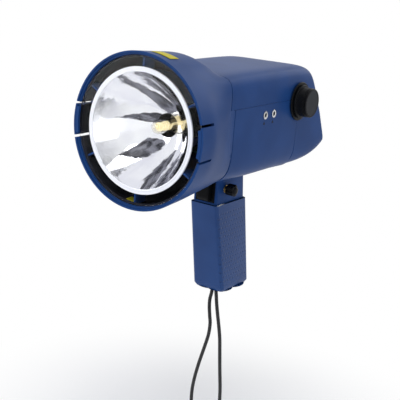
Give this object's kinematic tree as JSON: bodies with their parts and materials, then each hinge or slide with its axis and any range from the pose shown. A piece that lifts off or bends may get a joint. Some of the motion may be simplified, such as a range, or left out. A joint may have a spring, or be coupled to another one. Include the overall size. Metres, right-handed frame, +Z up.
{
  "type": "handheld xenon stroboscope",
  "caption": "Pistol-grip flash lamp for viewing moving machinery: round reflector head, tilted rear panel with display and keys, adjusting knob, trigger and wrist strap.",
  "frame": {"origin": "Mouth of the tripod bush in the base of the grip, on its axis", "axes": "Lens faces -Y, rear panel faces +Y and up, +Z is up along the upright instrument, +X is the side with the knob and jacks"},
  "size_m": [0.122, 0.2304, 0.3592],
  "materials": {
    "blue_plastic": "fine moulded texture",
    "clear_lens": "polished clear plastic",
    "reflector_metal": "bright vapour-plated bowl, white flange",
    "lamp_glass": "clear glass",
    "ceramic": "unglazed ceramic",
    "nickel": "nickel plated",
    "black_plastic": "satin black",
    "screw_steel": "zinc plated",
    "circuit_board": "solder mask",
    "capacitor_sleeve": "shrink sleeve",
    "transformer": "ferrite and tape",
    "chip_plastic": "moulded epoxy",
    "grey_cap": "fine matte",
    "panel_grey": "printed polyester",
    "lcd": "grey-green display",
    "key_turquoise": "embossed polyester",
    "key_white": "embossed polyester",
    "yellow_label": "blank vinyl label",
    "spring_steel": "drawn wire",
    "brass": "turned brass",
    "cell_sleeve": "shrink sleeve",
    "strap_cord": "braided nylon"
  },
  "bodies": {
    "casing": {"reflector_housing": "blue_plastic", "front_lens": "clear_lens", "reflector": "reflector_metal", "lamp_envelope": "lamp_glass", "flash_tube": "lamp_glass", "lamp_base": "ceramic", "lamp_pins": "nickel", "lamp_socket": "black_plastic", "top_cover": "blue_plastic", "bottom_cover": "blue_plastic", "cover_screws": "screw_steel", "main_board": "circuit_board", "board_screws": "screw_steel", "storage_capacitors": "capacitor_sleeve", "flyback_transformer": "transformer", "trigger_transformer": "transformer", "power_transistors": "chip_plastic", "knob_collar": "black_plastic", "encoder_body": "chip_plastic", "input_jack": "nickel", "output_jack": "nickel", "jack_bodies": "black_plastic", "panel_overlay": "panel_grey", "display_window": "clear_lens", "lcd_glass": "lcd", "panel_board": "circuit_board", "panel_screws": "screw_steel", "dome_switches": "nickel", "charge_socket": "black_plastic", "charge_pin": "nickel", "bell_sticker": "yellow_label", "inner_sticker": "yellow_label", "rear_sticker": "yellow_label", "handle_neck": "blue_plastic", "neck_screws": "screw_steel", "trigger_frame": "black_plastic", "trigger_switch": "chip_plastic", "lock_bush": "brass", "grip": "blue_plastic", "grip_screws": "screw_steel", "battery_cells": "cell_sleeve", "battery_contacts": "nickel", "tripod_bush": "brass", "strap_anchor": "black_plastic", "wrist_strap": "strap_cord", "trigger_spring": "spring_steel"},
    "dial": {"encoder_shaft": "nickel", "adjust_knob": "black_plastic", "knob_cap": "grey_cap"},
    "trigger": {"trigger": "black_plastic"},
    "lock_screw": {"lock_stud": "nickel"},
    "lock_handle": {"lock_knob": "black_plastic"},
    "key_1": {"key_1": "key_turquoise"},
    "key_2": {"key_2": "key_turquoise"},
    "key_3": {"key_3": "key_white"},
    "key_4": {"key_4": "key_turquoise"},
    "key_5": {"key_5": "key_turquoise"},
    "key_6": {"key_6": "key_turquoise"}
  },
  "joints": [
    {"name": "dial_turn", "type": "hinge", "parent": "casing", "child": "dial", "pos_m": [0.04635, 0.021, 0.1715], "axis": [1, 0, 0], "continuous": true},
    {"name": "trigger_pull", "type": "slide", "parent": "casing", "child": "trigger", "axis": [0, 1, 0], "range_m": [0, 0.0035], "stiffness_N_per_m": 600, "springref_m": -0.004, "deforming": ["trigger_spring"]},
    {"name": "lock_feed", "type": "slide", "parent": "casing", "child": "lock_screw", "axis": [-1, 0, 0], "range_m": [0, 0.0012]},
    {"name": "lock_turn", "type": "hinge", "parent": "lock_screw", "child": "lock_handle", "pos_m": [0.017, -0.0307, 0.0946], "axis": [-1, 0, 0], "range_deg": [0, 617]},
    {"name": "key_1_press", "type": "slide", "parent": "casing", "child": "key_1", "axis": [0, -0.891, -0.454], "range_m": [0, 0.00035], "stiffness_N_per_m": 900, "springref_m": -0.001},
    {"name": "key_2_press", "type": "slide", "parent": "casing", "child": "key_2", "axis": [0, -0.891, -0.454], "range_m": [0, 0.00035], "stiffness_N_per_m": 900, "springref_m": -0.001},
    {"name": "key_3_press", "type": "slide", "parent": "casing", "child": "key_3", "axis": [0, -0.891, -0.454], "range_m": [0, 0.00035], "stiffness_N_per_m": 900, "springref_m": -0.001},
    {"name": "key_4_press", "type": "slide", "parent": "casing", "child": "key_4", "axis": [0, -0.891, -0.454], "range_m": [0, 0.00035], "stiffness_N_per_m": 900, "springref_m": -0.001},
    {"name": "key_5_press", "type": "slide", "parent": "casing", "child": "key_5", "axis": [0, -0.891, -0.454], "range_m": [0, 0.00035], "stiffness_N_per_m": 900, "springref_m": -0.001},
    {"name": "key_6_press", "type": "slide", "parent": "casing", "child": "key_6", "axis": [0, -0.891, -0.454], "range_m": [0, 0.00035], "stiffness_N_per_m": 900, "springref_m": -0.001}
  ]
}
